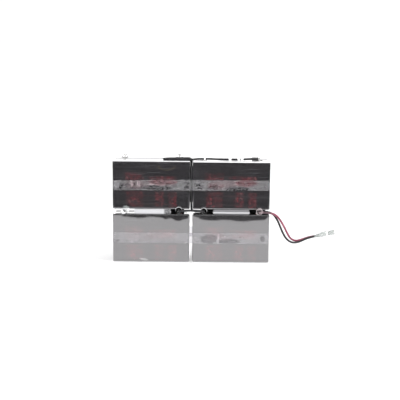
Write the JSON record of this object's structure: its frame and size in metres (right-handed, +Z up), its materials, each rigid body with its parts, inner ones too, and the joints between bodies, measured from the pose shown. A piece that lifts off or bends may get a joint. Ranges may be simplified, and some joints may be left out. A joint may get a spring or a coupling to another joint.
{
  "type": "ups battery cartridge",
  "caption": "Battery pack of sealed lead-acid blocks in two taped rows, wired in series with push-on connectors, with red and black output leads.",
  "frame": {"origin": "middle of the blocks' box on the surface they stand on", "axes": "+X to the side where the leads leave, +Y to the back, +Z up"},
  "size_m": [0.4479, 0.0851, 0.2118],
  "materials": {
    "case_plastic": "black moulded plastic, semi gloss",
    "lid_plastic": "black moulded plastic, semi gloss",
    "cover_plastic": "black moulded plastic, satin",
    "valve_rubber": "black rubber",
    "tinned_tab": "tin plated brass",
    "seal_resin": "cast resin, red at the positive and black at the negative terminal",
    "plate_lead": "lead plates in glass mat",
    "white_foam": "white closed cell foam",
    "grey_foam": "grey closed cell foam",
    "black_foam": "black closed cell foam",
    "clear_tape": "translucent packing tape",
    "tinned_connector": "tin plated brass, crimped",
    "clear_vinyl": "clear soft vinyl",
    "red_wire": "red wire insulation",
    "black_wire": "black wire insulation",
    "white_wrap": "white tape"
  },
  "bodies": {
    "root": {"centre_pad": "black_foam", "end_connector_black": "tinned_connector", "end_connector_red": "tinned_connector", "end_sleeve_black": "clear_vinyl", "end_sleeve_red": "clear_vinyl", "jumper_lower": "black_wire", "jumper_rise": "black_wire", "jumper_top": "black_wire", "lead_black": "black_wire", "lead_black_inner": "black_wire", "lead_red": "red_wire", "lead_red_inner": "red_wire", "lower_left_case": "case_plastic", "lower_left_connector_boots": "clear_vinyl", "lower_left_connectors": "tinned_connector", "lower_left_lid": "lid_plastic", "lower_left_plate_packs": "plate_lead", "lower_left_terminal_negative": "tinned_tab", "lower_left_terminal_positive": "tinned_tab", "lower_left_terminal_seals": "seal_resin", "lower_left_valves": "valve_rubber", "lower_left_vent_cover": "cover_plastic", "lower_right_case": "case_plastic", "lower_right_connector_boots": "clear_vinyl", "lower_right_connectors": "tinned_connector", "lower_right_lid": "lid_plastic", "lower_right_plate_packs": "plate_lead", "lower_right_terminal_negative": "tinned_tab", "lower_right_terminal_positive": "tinned_tab", "lower_right_terminal_seals": "seal_resin", "lower_right_valves": "valve_rubber", "lower_right_vent_cover": "cover_plastic", "spacer_left_back": "black_foam", "spacer_left_front": "white_foam", "spacer_right_back": "black_foam", "spacer_right_front": "grey_foam", "tape_lower": "clear_tape", "tape_upper": "clear_tape", "upper_left_case": "case_plastic", "upper_left_connector_boots": "clear_vinyl", "upper_left_connectors": "tinned_connector", "upper_left_lid": "lid_plastic", "upper_left_plate_packs": "plate_lead", "upper_left_terminal_negative": "tinned_tab", "upper_left_terminal_positive": "tinned_tab", "upper_left_terminal_seals": "seal_resin", "upper_left_valves": "valve_rubber", "upper_left_vent_cover": "cover_plastic", "upper_right_case": "case_plastic", "upper_right_connector_boots": "clear_vinyl", "upper_right_connectors": "tinned_connector", "upper_right_lid": "lid_plastic", "upper_right_plate_packs": "plate_lead", "upper_right_terminal_negative": "tinned_tab", "upper_right_terminal_positive": "tinned_tab", "upper_right_terminal_seals": "seal_resin", "upper_right_valves": "valve_rubber", "upper_right_vent_cover": "cover_plastic", "wire_tape_tabs": "clear_tape", "wire_wrap": "white_wrap"}
  },
  "joints": []
}
